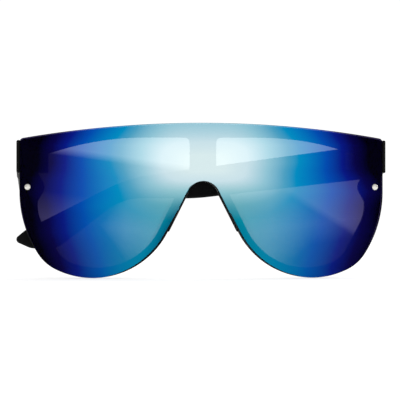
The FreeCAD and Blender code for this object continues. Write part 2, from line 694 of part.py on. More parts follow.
HINGE_SPOT = Vector(value(HINGE_OFFSET), value(HINGE_DEPTH), value("hinge_rise"))
front_leaf = leaf("front_hinge_left", "leaf_length_front", -1, (-1, 1))
front_leaf.Placement = Placement(HINGE_SPOT, Rotation())
front_seat = leaf_seat("front_hinge_seat", "leaf_length_front", -1)
front_seat.Placement = Placement(HINGE_SPOT, Rotation())

pin = new_body("hinge_screw_left")
pin_section = sketch_on(pin, "XZ_Plane", "hinge_screw_section")
PIN_SEAT = f"{HINGE_HEIGHT} / 2"
rounded_outline(pin_section, [
    ("0", f"-{PIN_SEAT}", "0"), ("pin_radius", f"-{PIN_SEAT}", "0"), ("pin_radius", PIN_SEAT, "0"),
    ("pin_head_radius", PIN_SEAT, "0"), ("pin_head_radius", f"{PIN_SEAT} + pin_head_height", "pin_head_height / 3"),
    ("0", f"{PIN_SEAT} + pin_head_height", "0")])
revolve(pin, pin_section)
pin_slot = sketch_on(pin, "XZ_Plane", "hinge_screw_slot")
rectangle(pin_slot, "-pin_slot_width / 2", f"{PIN_SEAT} + pin_head_height - pin_slot_depth",
          "pin_slot_width / 2", f"{PIN_SEAT} + 2 * pin_head_height")
extrude(pin, pin_slot, "3 * pin_head_radius", "PartDesign::Pocket")
pin.Placement = Placement(HINGE_SPOT, Rotation())

front_holes = screw_hole("frame_hole", STACK_BORE, "0", "lens_thickness + 3 * frame_thickness")
front_seat_right = mirrored(front_seat, "front_hinge_seat_right")
front_frame = combine("Cut", "front_frame", front_solid, front_holes + [front_seat, front_seat_right])

# Nose pads: a splayed bar along each nose flank, shaped to the frame it is bonded to
flank_head, flank_foot = lens_flank
flank_middle = (flank_head + flank_foot) * 0.5
flank_lean = math.degrees(math.atan2(flank_head.x - flank_foot.x, flank_head.y - flank_foot.y))
# the front of the pad stays behind the front of the frame, also at its foot
PAD_FOOT = (f"((nose_arch_radius - {LOBE_RADIUS}) * cos({FLANK_LEAN}) / 2 + {LOBE_OFFSET} / 2"
            f" + pad_length / 2 * sin({FLANK_LEAN}) + pad_width)")
PAD_FRONT = f"(sqrt(({BACK_RADIUS} + frame_thickness) ^ 2 - {PAD_FOOT} ^ 2) - {BACK_RADIUS} - pad_setback)"
pad_bar = new_body("nose_pad_bar")
pad_sketch = sketch_on(pad_bar, "XY_Plane", "nose_pad_section")
rounded_outline(pad_sketch, [
    ("-pad_overhang", f"-{PAD_FRONT}", "pad_overhang"),
    ("pad_width", f"-{PAD_FRONT}", "0"),
    ("pad_width", "pad_back_reach", "pad_back_radius"),
    ("pad_splay_run - pad_overhang", "pad_back_reach", "0"),
])
extrude(pad_bar, pad_sketch, "2 * pad_length")
pad_side = new_body("nose_pad_side")
pad_side_sketch = sketch_on(pad_side, "YZ_Plane", "nose_pad_side_outline")
rounded_outline(pad_side_sketch, [
    ("-2 * frame_thickness", "-pad_length / 2", "0"),
    ("pad_shoulder_reach", "-pad_length / 2", "pad_round"),
    ("pad_back_reach", "-pad_foot_length", "pad_round"),
    ("pad_back_reach", "pad_head_length", "pad_round"),
    ("pad_shoulder_reach", "pad_length / 2", "pad_round"),
    ("-2 * frame_thickness", "pad_length / 2", "0"),
])
extrude(pad_side, pad_side_sketch, "4 * pad_width")
pad_blank = combine("Common", "nose_pad_blank", pad_bar, [pad_side])


def on_pad_face(edge):
    """Whether the edge bounds the splayed face that lies on the nose, behind the frame."""
    slope = value(f"pad_splay_run / ({PAD_FRONT} + pad_back_reach)")
    for share in (0.0, 0.5, 1.0):
        point = edge.valueAt(edge.FirstParameter + share * (edge.LastParameter - edge.FirstParameter))
        if abs(point.x + value("pad_overhang") - slope * (point.y + value(PAD_FRONT))) > 0.01:
            return False
    return edge.BoundBox.YMax > 0


nose_pad_solid = rounded_edges(pad_blank, "nose_pad_solid", "pad_edge_radius", on_pad_face)
nose_pad_solid.Placement = Placement(Vector(flank_middle.x, 0, flank_middle.y),
                                     Rotation(Vector(0, 1, 0), flank_lean))
doc.recompute()
nose_pad = combine("Cut", "nose_pad_left", nose_pad_solid, [front_frame])

# Arms: side outline and plan outline, what they share, edges rounded, hinge seat cut in
temple_side = new_body("temple_side")
side_sketch = sketch_on(temple_side, "YZ_Plane", "temple_side_outline")
rounded_outline(side_sketch, [
    ("butt_gap", "butt_top_rise", "butt_edge_radius"),
    ("butt_gap", "butt_bottom_rise", "butt_edge_radius"),
    ("tip_length - waist_setback", "-waist_drop", "waist_radius"),
    ("tip_length - neck_setback", "-neck_drop", "neck_radius"),
    ("tip_length - paddle_setback", "-paddle_drop", "paddle_radius"),
    ("tip_length - tip_heel_setback", "-tip_heel_drop", "tip_heel_radius"),
    ("tip_length", "-tip_drop", "tip_radius"),
    ("tip_length - tip_shoulder_setback", "-tip_shoulder_drop", "tip_shoulder_radius"),
    ("tip_length - bend_setback", "bend_rise", "bend_radius"),
])
extrude(temple_side, side_sketch, DEEP)

temple_plan = new_body("temple_plan")
plan_sketch = sketch_on(temple_plan, "XY_Plane", "temple_plan_outline")
OUTER = "(leaf_seat_offset + temple_thickness)"
TIP_OUTER = f"({OUTER} - temple_tip_curve)"
rounded_outline(plan_sketch, [
    ("leaf_seat_offset", "0", "0"),
    (OUTER, "0", "0"),
    (OUTER, "temple_curve_length", "temple_curve_radius"),
    (TIP_OUTER, "tip_length + tip_radius", "0"),
    (f"{TIP_OUTER} - temple_tip_thickness", "tip_length + tip_radius", "0"),
    (f"{OUTER} - temple_mid_thickness", "temple_curve_length", "temple_curve_radius"),
])
extrude(temple_plan, plan_sketch, TALL)
temple_blank = combine("Common", "temple_blank", temple_side, [temple_plan])


def long_edge(edge):
    """Whether the edge bounds the outer face, or the inner face behind the butt."""
    box = edge.BoundBox
    if box.YMax < value("butt_gap") + 0.01:
        return box.XMin > value(OUTER) - 0.01
    return max(box.YLength, box.ZLength) > box.XLength


temple_soft = rounded_edges(temple_blank, "temple_soft", "temple_edge_radius", long_edge)
temple_seat = leaf_seat("temple_hinge_seat", "leaf_length_temple", 1)
temple_seat.Placement = Placement(Vector(0, 0, value("hinge_rise")), Rotation())
temple = combine("Cut", "temple_left", temple_soft, [temple_seat])
temple_leaf = leaf("temple_hinge_left", "leaf_length_temple", 1, (-2, 0, 2))

# Set both arms on their pins at their rest angles
turn_left = Rotation(Vector(0, 0, 1), 90 - value("rest_angle_left"))
temple.Placement = Placement(Vector(HINGE_SPOT.x, HINGE_SPOT.y, 0), turn_left)
temple_leaf.Placement = Placement(HINGE_SPOT, turn_left)
doc.recompute()

pairs = [screw, bush, washer, nut, nose_pad, front_leaf, pin, temple_leaf, temple]
pieces = [lens, front_frame]
for left in pairs:
    pieces += [left, mirrored(left, left.Label.replace("_left", "_right"))]
turn_right = Rotation(Vector(0, 0, 1), value("rest_angle_right - rest_angle_left"))
for piece in pieces:
    if piece.Label in ("temple_right", "temple_hinge_right"):
        piece.Placement = Placement(Vector(), turn_right, Vector(-HINGE_SPOT.x, HINGE_SPOT.y, 0))
doc.recompute()

# Check and write
for item in doc.Objects:
    if "Invalid" in item.State or "Error" in item.State:
        raise RuntimeError(f"{item.Name} did not build: {item.State}")
os.makedirs("parts", exist_ok=True)
for piece in pieces:
    shape = piece.Shape
    if shape.isNull() or not shape.isValid() or len(shape.Solids) != 1:
        raise RuntimeError(f"{piece.Label} is not one sound solid")
    shape.exportStep(f"parts/{piece.Label}.step")
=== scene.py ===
import math

import bpy
from mathutils import Matrix, Vector


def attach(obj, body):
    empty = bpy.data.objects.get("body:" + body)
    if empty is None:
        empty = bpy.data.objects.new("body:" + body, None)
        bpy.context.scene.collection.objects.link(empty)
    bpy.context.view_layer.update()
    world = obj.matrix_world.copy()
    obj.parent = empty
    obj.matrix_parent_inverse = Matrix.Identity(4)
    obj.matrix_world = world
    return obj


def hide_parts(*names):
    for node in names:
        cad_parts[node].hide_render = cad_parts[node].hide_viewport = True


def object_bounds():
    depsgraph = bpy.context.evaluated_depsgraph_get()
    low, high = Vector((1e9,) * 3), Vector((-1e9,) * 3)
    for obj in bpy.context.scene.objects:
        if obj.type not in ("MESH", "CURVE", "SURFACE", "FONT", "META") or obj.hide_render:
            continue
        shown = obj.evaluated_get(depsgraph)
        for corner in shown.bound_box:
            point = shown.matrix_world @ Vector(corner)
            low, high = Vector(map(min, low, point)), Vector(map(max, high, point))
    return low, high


# Shield sunglasses seen from the front: mirrored lens over a black frame. Metres, front faces -Y.
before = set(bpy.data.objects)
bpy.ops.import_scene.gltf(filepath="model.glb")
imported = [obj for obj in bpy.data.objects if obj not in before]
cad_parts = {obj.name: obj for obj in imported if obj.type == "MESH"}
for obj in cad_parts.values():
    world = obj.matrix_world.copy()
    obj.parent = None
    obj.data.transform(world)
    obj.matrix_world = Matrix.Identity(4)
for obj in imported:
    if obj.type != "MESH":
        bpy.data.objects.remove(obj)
cad_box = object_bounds()
MM = 0.001

# Lens outline, millimetres, heights from the top of the nose arch
HALF_WIDTH = 71.3
TOP_RISE = 22.55
DROP = 37.7
TOP_RADIUS = 430
CORNER_RADIUS = 1.8
SIDE_DROP = 4.2
SIDE_RADIUS = 0.617 * HALF_WIDTH
CHEEK_RADIUS = 0.238 * HALF_WIDTH
LOBE_OFFSET = 0.603 * HALF_WIDTH
LOBE_RADIUS = 0.454 * HALF_WIDTH
ARCH_RADIUS = 6.6
PLAN_RADIUS = 270
PLAN_AXIS_DEPTH = 264.3
THICKNESS = 2.0
EDGE_BEVEL = 0.22
SCREW_INSET = 3.1
SCREW_DROP = 2.3
SCREW_HOLE_RADIUS = 0.98

# Black edge of the lens, millimetres from its middle: the sides beyond SIDE_EDGE, and the nose edge. The bevel
# widens over the head of the nose edge, up to another width on each side, and narrows over its foot.
SIDE_EDGE = 52.0
NOSE_EDGE_HEAD = (10.0, 15.0)
NOSE_EDGE_FOOT = (22.0, 37.0)
NOSE_BEVEL_RIGHT = 0.70
NOSE_BEVEL_LEFT = 0.42

# Mesh of the lens: rows from bottom to top, steps across each half, and finer steps over the end run
LENS_ROWS = 10
LENS_STEPS = 110
END_STEPS = 14
END_RUN = 3.0
HOLE_SIDES = 48
CUTTER_LENGTH = 3 * THICKNESS
SHARP_ANGLE = 10
MIRROR, SMOKE, BLACK = range(3)


def outline_centres():
    """Centres of the arcs that bound the lens, on the wearer's left."""
    top = Vector((0, TOP_RISE - TOP_RADIUS))
    across = HALF_WIDTH - CORNER_RADIUS
    corner = Vector((across, top.y + math.sqrt((TOP_RADIUS - CORNER_RADIUS) ** 2 - across ** 2)))
    side = Vector((HALF_WIDTH - SIDE_RADIUS, -SIDE_DROP))
    lobe = Vector((LOBE_OFFSET, LOBE_RADIUS - DROP))
    arch = Vector((0, -ARCH_RADIUS))
    # the cheek arc touches the side arc and the lobe arc from inside
    span = lobe - side
    from_side = SIDE_RADIUS - CHEEK_RADIUS
    from_lobe = LOBE_RADIUS - CHEEK_RADIUS
    along = (from_side ** 2 - from_lobe ** 2 + span.length ** 2) / (2 * span.length)
    aside = math.sqrt(from_side ** 2 - along ** 2)
    forward = span.normalized()
    cheek = side + forward * along + Vector((forward.y, -forward.x)) * aside
    return top, corner, side, cheek, lobe, arch


TOP, CORNER, SIDE, CHEEK, LOBE, ARCH = outline_centres()
REACH = LOBE - ARCH
FLANK_LEAN = math.atan2(REACH.y, REACH.x) + math.acos((LOBE_RADIUS + ARCH_RADIUS) / REACH.length)
ACROSS_FLANK = Vector((math.cos(FLANK_LEAN), math.sin(FLANK_LEAN)))


def above(centre, radius, across):
    """Height of the upper half of a circle."""
    return centre.y + math.sqrt(max(radius ** 2 - (across - centre.x) ** 2, 0))


def below(centre, radius, across):
    """Height of the lower half of a circle."""
    return centre.y - math.sqrt(max(radius ** 2 - (across - centre.x) ** 2, 0))


def lens_heights(across, inset):
    """Bottom and top of the lens at a distance from its middle, drawn inside the edge by the inset."""
    across = abs(across)
    brow_end = (TOP + (CORNER - TOP).normalized() * (TOP_RADIUS - inset)).x
    if across <= brow_end:
        top = above(TOP, TOP_RADIUS - inset, across)
    else:
        top = above(CORNER, CORNER_RADIUS - inset, across)
    flank_head = ARCH + ACROSS_FLANK * (ARCH_RADIUS + inset)
    flank_foot = LOBE - ACROSS_FLANK * (LOBE_RADIUS - inset)
    lobe_end = (LOBE + (CHEEK - LOBE).normalized() * (LOBE_RADIUS - inset)).x
    cheek_end = (SIDE + (CHEEK - SIDE).normalized() * (SIDE_RADIUS - inset)).x
    if across <= flank_head.x:
        bottom = above(ARCH, ARCH_RADIUS + inset, across)
    elif across <= flank_foot.x:
        share = (across - flank_head.x) / (flank_foot.x - flank_head.x)
        bottom = flank_head.y + share * (flank_foot.y - flank_head.y)
    elif across <= lobe_end:
        bottom = below(LOBE, LOBE_RADIUS - inset, across)
    elif across <= cheek_end:
        bottom = below(CHEEK, CHEEK_RADIUS - inset, across)
    else:
        bottom = below(SIDE, SIDE_RADIUS - inset, across)
    return bottom, top


def lens_columns():
    """Positions across the lens as shares of its half width, closer together at the rounded sides."""
    inner = [step / LENS_STEPS * (HALF_WIDTH - END_RUN) for step in range(LENS_STEPS)]
    turns = [step / END_STEPS * math.pi / 2 for step in range(END_STEPS + 1)]
    outer = [HALF_WIDTH - END_RUN * (1 - math.sin(turn)) for turn in turns]
    half = [position / HALF_WIDTH for position in inner + outer]
    return [-share for share in reversed(half[1:])] + half


def lens_rim(last):
    """Columns and rows round the edge of the lens: along the bottom, up, back along the top and down."""
    rim = [(column, 0) for column in range(last)]
    rim += [(last, row) for row in range(LENS_ROWS)]
    rim += [(column, LENS_ROWS) for column in range(last, 0, -1)]
    rim += [(0, row) for row in range(LENS_ROWS, 0, -1)]
    return rim


def share_between(position, start, end):
    """0 up to the start, 1 from the end on, and even in between."""
    return min(max((position - start) / (end - start), 0), 1)


def edge_inset(across):
    """Width of the bevel along the bottom of the lens front; wider along the nose."""
    widest = NOSE_BEVEL_RIGHT if across < 0 else NOSE_BEVEL_LEFT
    share = share_between(abs(across), *NOSE_EDGE_HEAD) * (1 - share_between(abs(across), *NOSE_EDGE_FOOT))
    return EDGE_BEVEL + share * (widest - EDGE_BEVEL)


def edge_slot(across, row):
    """Material of the lens edge at a distance from the middle."""
    at_nose = row == 0 and NOSE_EDGE_HEAD[0] < across < NOSE_EDGE_FOOT[1]
    return BLACK if at_nose or across > SIDE_EDGE else MIRROR


def lens_mesh():
    """A fine curved sheet in front, bevelled edges and a sheet behind."""
    columns = lens_columns()
    last = len(columns) - 1
    rim = lens_rim(last)
    points, faces, slots = [], [], []

    def point(column, row, inset, depth):
        across = columns[column] * (HALF_WIDTH - inset)
        bottom, top = lens_heights(across, inset)
        height = bottom + (top - bottom) * row / LENS_ROWS
        radius = PLAN_RADIUS - depth
        back = PLAN_AXIS_DEPTH - math.sqrt(radius ** 2 - across ** 2)
        points.append(Vector((across, back, height)) * MM)
        return len(points) - 1

    front, back = {}, {}
    for column in range(last + 1):
        for row in range(LENS_ROWS + 1):
            inset = edge_inset(columns[column] * HALF_WIDTH) if row == 0 else EDGE_BEVEL
            front[column, row] = point(column, row, inset, 0)
            back[column, row] = point(column, row, EDGE_BEVEL, THICKNESS)
    rings = [[front[spot] for spot in rim]]
    for depth in (EDGE_BEVEL, THICKNESS - EDGE_BEVEL):
        rings.append([point(column, row, 0, depth) for column, row in rim])
    rings.append([back[spot] for spot in rim])

    cells = [(column, row) for column in range(last) for row in range(LENS_ROWS)]
    for column, row in cells:
        quad = [(column, row), (column + 1, row), (column + 1, row + 1), (column, row + 1)]
        faces.append([front[spot] for spot in quad])
        slots.append(MIRROR)
    for near, far in zip(rings, rings[1:]):
        for place, (column, row) in enumerate(rim):
            after = (place + 1) % len(rim)
            faces.append([near[place], far[place], far[after], near[after]])
            slots.append(edge_slot(abs(columns[column]) * HALF_WIDTH, row))
    for column, row in cells:
        quad = [(column, row), (column, row + 1), (column + 1, row + 1), (column + 1, row)]
        faces.append([back[spot] for spot in quad])
        slots.append(SMOKE)

    mesh = bpy.data.meshes.new("lens_shield")
    mesh.from_pydata(points, [], faces)
    for material in (mirror_and_painted_reflection(), smoke_tint(), satin_black):
        mesh.materials.append(material)
    for polygon, slot in zip(mesh.polygons, slots):
        polygon.material_index = slot
        polygon.use_smooth = True
    mesh.validate()
    return mesh


def cut_screw_holes(lens):
    """Opens the two holes that the lens screws pass through."""
    cutters = []
    for side in (-1, 1):
        lean = side * math.asin((HALF_WIDTH - SCREW_INSET) / PLAN_RADIUS)
        outward = Vector((math.sin(lean), -math.cos(lean), 0))
        middle = Vector((0, PLAN_AXIS_DEPTH, -SCREW_DROP)) + outward * (PLAN_RADIUS - THICKNESS / 2)
        bpy.ops.mesh.primitive_cylinder_add(vertices=HOLE_SIDES, radius=SCREW_HOLE_RADIUS * MM,
                                            depth=CUTTER_LENGTH * MM)
        cutter = bpy.context.object
        turn = outward.to_track_quat("Z", "Y").to_matrix().to_4x4()
        cutter.matrix_world = Matrix.Translation(middle * MM) @ turn
        cutters.append(cutter)
        cut = lens.modifiers.new("screw_hole", "BOOLEAN")
        cut.operation = "DIFFERENCE"
        cut.solver = "EXACT"
        cut.object = cutter
    bpy.context.view_layer.update()
    shape = lens.evaluated_get(bpy.context.evaluated_depsgraph_get())
    lens.data = bpy.data.meshes.new_from_object(shape)
    lens.modifiers.clear()
    for cutter in cutters:
        bpy.data.objects.remove(cutter)


def build_lens():
    """The lens with its screw holes; its bevels keep sharp borders."""
    lens = bpy.data.objects.new("lens_shield", lens_mesh())
    bpy.context.scene.collection.objects.link(lens)
    cut_screw_holes(lens)
    lens.data.set_sharp_from_angle(angle=math.radians(SHARP_ANGLE))
    return lens


# Materials. Most noise lies between NOISE_LIMITS, and colours blend between BLEND_LIMITS.
# Drifts are scales of noise, per metre.
NOISE_LIMITS = (0.3, 0.7)
BLEND_LIMITS = (0.35, 0.65)
PLASTIC_DRIFT = 60
GLOSS_DRIFT = 300
METAL_DRIFT = 500
GRAIN_DETAIL = 2.0
GRAIN_STRENGTH = 0.25
MARK_STRENGTH = 0.15
PLASTIC_SPECULAR = 0.07
WHITE = (1, 1, 1)


def grey(level):
    return (level, level, level)


def new_material(name):
    """A material with nodes; also returns its node tree and its shader."""
    material = bpy.data.materials.new(name)
    material.use_nodes = True
    tree = material.node_tree
    return material, tree, tree.nodes["Principled BSDF"]


def add(tree, kind, **settings):
    """A new node with its settings."""
    node = tree.nodes.new(kind)
    for name, setting in settings.items():
        setattr(node, name, setting)
    return node


def object_noise(tree, scale, detail=3.0, stretch=(1, 1, 1)):
    """Noise fixed to the piece; scale counts per metre."""
    place = add(tree, "ShaderNodeTexCoord")
    mapping = add(tree, "ShaderNodeMapping")
    mapping.inputs["Scale"].default_value = stretch
    noise = add(tree, "ShaderNodeTexNoise")
    noise.inputs["Scale"].default_value = scale
    noise.inputs["Detail"].default_value = detail
    tree.links.new(place.outputs["Object"], mapping.inputs["Vector"])
    tree.links.new(mapping.outputs["Vector"], noise.inputs["Vector"])
    return noise.outputs["Fac"]


def run_between(tree, source, low, high, at_low=0.0, at_high=1.0):
    """Runs evenly from one value where the source is low to another where it is high."""
    ranged = add(tree, "ShaderNodeMapRange")
    ranged.inputs["From Min"].default_value = low
    ranged.inputs["From Max"].default_value = high
    ranged.inputs["To Min"].default_value = at_low
    ranged.inputs["To Max"].default_value = at_high
    tree.links.new(source, ranged.inputs["Value"])
    return ranged.outputs["Result"]


def colour_steps(tree, source, steps):
    """Colour ramp through pairs of position and colour."""
    ramp = add(tree, "ShaderNodeValToRGB")
    while len(ramp.color_ramp.elements) < len(steps):
        ramp.color_ramp.elements.new(1.0)
    for element, (position, colour) in zip(ramp.color_ramp.elements, steps):
        element.position = position
        element.color = (*colour, 1)
    tree.links.new(source, ramp.inputs["Fac"])
    return ramp.outputs["Color"]


def blend_colours(tree, noise, first, second):
    """Drifts between two colours."""
    return colour_steps(tree, noise, tuple(zip(BLEND_LIMITS, (first, second))))


def multiply_colours(tree, first, second):
    blend = add(tree, "ShaderNodeMix", data_type="RGBA", blend_type="MULTIPLY")
    blend.inputs["Factor"].default_value = 1.0
    tree.links.new(first, blend.inputs["A"])
    tree.links.new(second, blend.inputs["B"])
    return blend.outputs["Result"]


def calculate(tree, operation, first, second=0.0):
    """A sum on a socket; the second term is a number or another socket."""
    node = add(tree, "ShaderNodeMath", operation=operation)
    tree.links.new(first, node.inputs[0])
    if isinstance(second, float):
        node.inputs[1].default_value = second
    else:
        tree.links.new(second, node.inputs[1])
    return node.outputs["Value"]


def product(tree, first, *others):
    for other in others:
        first = calculate(tree, "MULTIPLY", first, other)
    return first


def set_roughness(tree, shader, noise, low, high):
    """Gloss that drifts between two values of roughness."""
    tree.links.new(run_between(tree, noise, *NOISE_LIMITS, low, high), shader.inputs["Roughness"])


def add_bump(tree, shader, noise, height, strength):
    """Fine relief on the surface; height in metres."""
    bump = add(tree, "ShaderNodeBump")
    bump.inputs["Distance"].default_value = height
    bump.inputs["Strength"].default_value = strength
    tree.links.new(noise, bump.inputs["Height"])
    tree.links.new(bump.outputs["Normal"], shader.inputs["Normal"])


# Heights at which the colours of the lens change, metres from the top of the nose arch
PAINTED_HIGHLIGHT_HEIGHT = 0.0064
LOBE_FOOT = (-0.034, -0.020)
BELOW_ARCH = (-0.010, -0.004)
ARCH_TOP = (-0.004, 0.004)
BROW = (0.014, 0.020)

# Above and below the height of the painted highlight: the length over which colours change most, and how far
# out that counts
CLIMB_UP = (0.013, 0.0265)
CLIMB_DOWN = (0.0155, 0.0388)
SQUARENESS = 4.0
FULL_REACH = 0.0704
MIRROR_ALPHA = 0.85
MOST_SMOKE = 0.95


def lens_place(tree):
    """Distance across the lens from its middle and height from the nose arch, in metres."""
    place = add(tree, "ShaderNodeTexCoord")
    axes = add(tree, "ShaderNodeSeparateXYZ")
    tree.links.new(place.outputs["Object"], axes.inputs["Vector"])
    return axes.outputs["X"], axes.outputs["Z"]


def fall_off(tree, height, run, most):
    """Grows fast close to the height of the painted highlight and levels off further away; 0 on the other side
    of it.
    """
    one_side = calculate(tree, "MAXIMUM", height, 0.0)
    share = calculate(tree, "TANH", calculate(tree, "DIVIDE", one_side, run))
    return calculate(tree, "MULTIPLY", share, most)


def lens_reach(tree):
    """How far out on the lens: 0 in the icy upper middle, where the colour holds a painted highlight, 1 at the
    sides, along rounded squares.
    """
    across, height = lens_place(tree)
    over = calculate(tree, "SUBTRACT", height, PAINTED_HIGHLIGHT_HEIGHT)
    under = calculate(tree, "MULTIPLY", over, -1.0)
    climb = calculate(tree, "ADD", fall_off(tree, over, *CLIMB_UP), fall_off(tree, under, *CLIMB_DOWN))

    # the painted bright highlight leans to the wearer's left, most of all beside the top of the arch
    lean = run_between(tree, height, *ARCH_TOP, 0.0019, 0.0006)
    less_lean = run_between(tree, height, *BELOW_ARCH, 0.0010, 0.0)
    across = calculate(tree, "ADD", calculate(tree, "SUBTRACT", across, lean), less_lean)
    wearers_right = run_between(tree, across, -0.012, 0.012, 1.0, 0.4)

    # it widens below the arch, and narrows at the foot of the lobes and towards the brow
    narrow_foot = run_between(tree, height, *LOBE_FOOT, 1.09, 1.0)
    wide_lobes = run_between(tree, height, *ARCH_TOP, 0.953, 1.0)
    narrow_brow = run_between(tree, height, *BROW, 1.0, 1.09)
    across = product(tree, calculate(tree, "ABSOLUTE", across), narrow_foot, wide_lobes, narrow_brow)

    # above the arch, and below it mostly on the wearer's right, it reaches further out but ends sooner
    more_above = calculate(tree, "MINIMUM", run_between(tree, height, 0.001, 0.007, 0.0, 0.07),
                           run_between(tree, height, 0.014, 0.022, 0.07, 0.0))
    more_below = product(tree, run_between(tree, height, -0.010, -0.005, 0.06, 0.0), wearers_right)
    less_outside = run_between(tree, across, 0.035, 0.058, 1.0, -0.5)
    widening = product(tree, calculate(tree, "ADD", more_above, more_below), less_outside)
    across = calculate(tree, "SUBTRACT", across, product(tree, across, widening))

    corners = calculate(tree, "ADD", calculate(tree, "POWER", across, SQUARENESS),
                        calculate(tree, "POWER", climb, SQUARENESS))
    return calculate(tree, "DIVIDE", calculate(tree, "POWER", corners, 1 / SQUARENESS), FULL_REACH)


def near_nose(tree):
    """1 beside the lower part of the nose arch, 0 well away from it."""
    across, height = lens_place(tree)
    beside = run_between(tree, calculate(tree, "ABSOLUTE", across), 0.012, 0.040, 1.0, 0.0)
    return product(tree, beside, run_between(tree, height, -0.015, 0.0, 1.0, 0.0))


def along_flank(tree):
    """Mask of the painted dark reflection along the nose: 1 at the nose edge of the lens below the arch,
    fading over 6 mm; stronger on the wearer's right.
    """
    across, height = lens_place(tree)
    slant = calculate(tree, "MULTIPLY", height, 0.5)
    from_edge = calculate(tree, "ADD", calculate(tree, "ABSOLUTE", across), slant)
    at_edge = run_between(tree, from_edge, 0.0038, 0.0098, 1.0, 0.0)
    under_arch = run_between(tree, height, -0.014, -0.006, 1.0, 0.0)
    over_foot = run_between(tree, height, -0.035, -0.022, 0.3, 1.0)
    wearers_right = run_between(tree, across, -0.005, 0.005, 1.0, 0.4)
    return product(tree, at_edge, under_arch, over_foot, wearers_right)


def mirror_and_painted_reflection():
    """Mirror coating with painted reflection: icy in the upper middle, a painted highlight of a bright
    softbox, then cyan, azure, royal blue and violet black outside, the black partly a painted dark reflection;
    the hue shift is the coating's own.
    """
    material, tree, shader = new_material("mirror_and_painted_reflection")
    icy, pale = (0.81, 0.98, 1.0), (0.69, 0.89, 0.96)
    sky_blue, cyan = (0.33, 0.65, 0.78), (0.085, 0.41, 0.63)
    sea_blue, azure, royal = (0.001, 0.31, 0.62), (0.001, 0.235, 0.60), (0.001, 0.083, 0.50)
    indigo, violet, black = (0.003, 0.011, 0.26), (0.003, 0.002, 0.07), (0.001, 0.0005, 0.006)
    # the ramp paints the reflection into the colour: a painted icy highlight in the upper middle and painted
    # dark reflection at the sides, over the coating's own cyan to violet hues
    hues = colour_steps(tree, lens_reach(tree), (
        (0.10, icy), (0.22, pale), (0.33, sky_blue), (0.43, cyan), (0.49, sea_blue),
        (0.55, azure), (0.67, royal), (0.78, indigo), (0.87, violet), (0.95, black)))
    # lower down and beside the nose the blue turns a little to teal, and along the flanks a painted dark
    # reflection makes it darker
    low_teal, nose_teal, painted_flank_reflection = (1, 1, 0.7), (1, 1, 0.75), (0.35, 0.36, 0.50)
    rise = run_between(tree, lens_place(tree)[1], -0.035, -0.005)
    lower = colour_steps(tree, rise, ((0.0, low_teal), (1.0, WHITE)))
    inner = colour_steps(tree, near_nose(tree), ((0.0, WHITE), (1.0, nose_teal)))
    flank = colour_steps(tree, along_flank(tree), ((0.0, WHITE), (1.0, painted_flank_reflection)))
    shade = multiply_colours(tree, multiply_colours(tree, lower, inner), flank)
    tree.links.new(multiply_colours(tree, hues, shade), shader.inputs["Base Color"])
    set_roughness(tree, shader, object_noise(tree, 90), 0.03, 0.06)
    shader.inputs["Metallic"].default_value = 1.0
    shader.inputs["Alpha"].default_value = MIRROR_ALPHA
    return material


def smoke_density(tree):
    """How much of the view through the lens the smoke hides."""
    across, height = lens_place(tree)
    from_middle = calculate(tree, "ABSOLUTE", across)
    # densest at the bottom, clear over the eyes, and thinner beside the nose; the short step up to clear near
    # the top is partly a painted shade of the folded arm behind the lens
    thick, middling, even, thin = grey(0.93), grey(0.5), grey(0.8), grey(0.0)
    slant = calculate(tree, "MULTIPLY", from_middle, 0.14)
    rise = run_between(tree, calculate(tree, "SUBTRACT", height, slant), -0.042, 0.008)
    density = colour_steps(tree, rise, (
        (0.12, thick), (0.38, middling), (0.60, even), (0.885, even), (0.945, thin)))
    density = calculate(tree, "SUBTRACT", density, calculate(tree, "MULTIPLY", near_nose(tree), 0.2))
    # low down denser at the sides
    off_centre = calculate(tree, "ABSOLUTE", calculate(tree, "ADD", across, 0.002))
    outer = run_between(tree, off_centre, 0.028, 0.045, 0.0, 0.5)
    fall = calculate(tree, "MULTIPLY", from_middle, 0.6)
    lower = run_between(tree, calculate(tree, "ADD", height, fall), 0.0140, 0.0172, 1.0, 0.0)
    density = calculate(tree, "ADD", density, product(tree, lower, outer))
    # denser on the wearer's right than on the left, a painted shade for the folded arms behind the lens, and
    # never quite opaque
    denser_right_painted_shade = run_between(tree, across, -0.045, 0.045, 1.2, 0.75)
    return calculate(tree, "MINIMUM", product(tree, density, denser_right_painted_shade), MOST_SMOKE)


def smoke_tint():
    """Inner face of the lens: smoke that lets aqua, blue and violet through towards the sides."""
    material, tree, shader = new_material("smoke_tint")
    noise = object_noise(tree, 120)
    dark = blend_colours(tree, noise, (0.006, 0.007, 0.010), (0.009, 0.010, 0.014))
    tree.links.new(dark, shader.inputs["Base Color"])
    set_roughness(tree, shader, noise, 0.04, 0.08)
    shader.inputs["Specular IOR Level"].default_value = 0.2
    clear, aqua, blue, violet = (1.0, 1.0, 0.95), (0.7, 0.96, 1.0), (0.6, 0.55, 1.0), (0.45, 0.35, 1.0)
    tint = colour_steps(tree, lens_reach(tree), ((0.48, clear), (0.68, aqua), (0.84, blue), (0.95, violet)))
    through = add(tree, "ShaderNodeBsdfTransparent")
    tree.links.new(tint, through.inputs["Color"])
    mixed = add(tree, "ShaderNodeMixShader")
    tree.links.new(smoke_density(tree), mixed.inputs["Fac"])
    tree.links.new(through.outputs["BSDF"], mixed.inputs[1])
    tree.links.new(shader.outputs["BSDF"], mixed.inputs[2])
    tree.links.new(mixed.outputs["Shader"], tree.nodes["Material Output"].inputs["Surface"])
    return material


def moulded_plastic(name, dark, light, rough, grain, height):
    """Moulded plastic with a fine spark-eroded grain and slight colour and gloss drift."""
    material, tree, shader = new_material(name)
    colour = blend_colours(tree, object_noise(tree, PLASTIC_DRIFT), dark, light)
    tree.links.new(colour, shader.inputs["Base Color"])
    set_roughness(tree, shader, object_noise(tree, GLOSS_DRIFT), *rough)
    add_bump(tree, shader, object_noise(tree, grain, GRAIN_DETAIL), height, GRAIN_STRENGTH)
    shader.inputs["Specular IOR Level"].default_value = PLASTIC_SPECULAR
    return material


